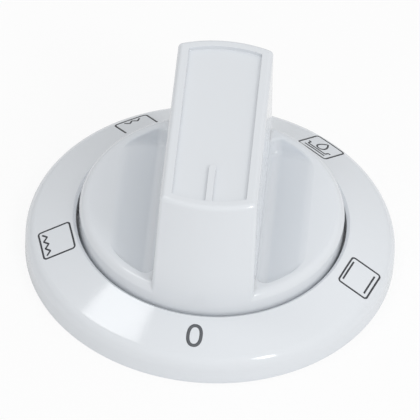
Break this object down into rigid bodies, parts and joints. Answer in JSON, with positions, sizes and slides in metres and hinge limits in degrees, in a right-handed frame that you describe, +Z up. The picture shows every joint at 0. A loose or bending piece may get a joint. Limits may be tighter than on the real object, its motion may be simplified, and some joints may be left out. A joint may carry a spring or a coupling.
{
  "type": "oven function knob",
  "caption": "Round oven function knob: a bar grip across a scooped drum, turning inside a loose dial ring with printed oven marks; D-bore insert for the spindle.",
  "frame": {"origin": "centre of the dial ring's foot, on the panel's plane", "axes": "+Z up along the spindle, away from the panel; -Y towards the pointer rib and the nought mark"},
  "size_m": [0.064, 0.064, 0.0307],
  "materials": {
    "knob_plastic": "cool white moulded plastic, glossy",
    "insert_plastic": "heat-proof dark moulding, matt",
    "clip_steel": "bright spring steel"
  },
  "bodies": {
    "dial": {"dial_ring": "knob_plastic"},
    "knob": {"knob_body": "knob_plastic", "shaft_insert": "insert_plastic", "shaft_clip": "clip_steel"}
  },
  "joints": [
    {"name": "knob_turn", "type": "hinge", "parent": "dial", "child": "knob", "pos_m": [0, 0, 0], "axis": [0, 0, 1], "continuous": true}
  ]
}
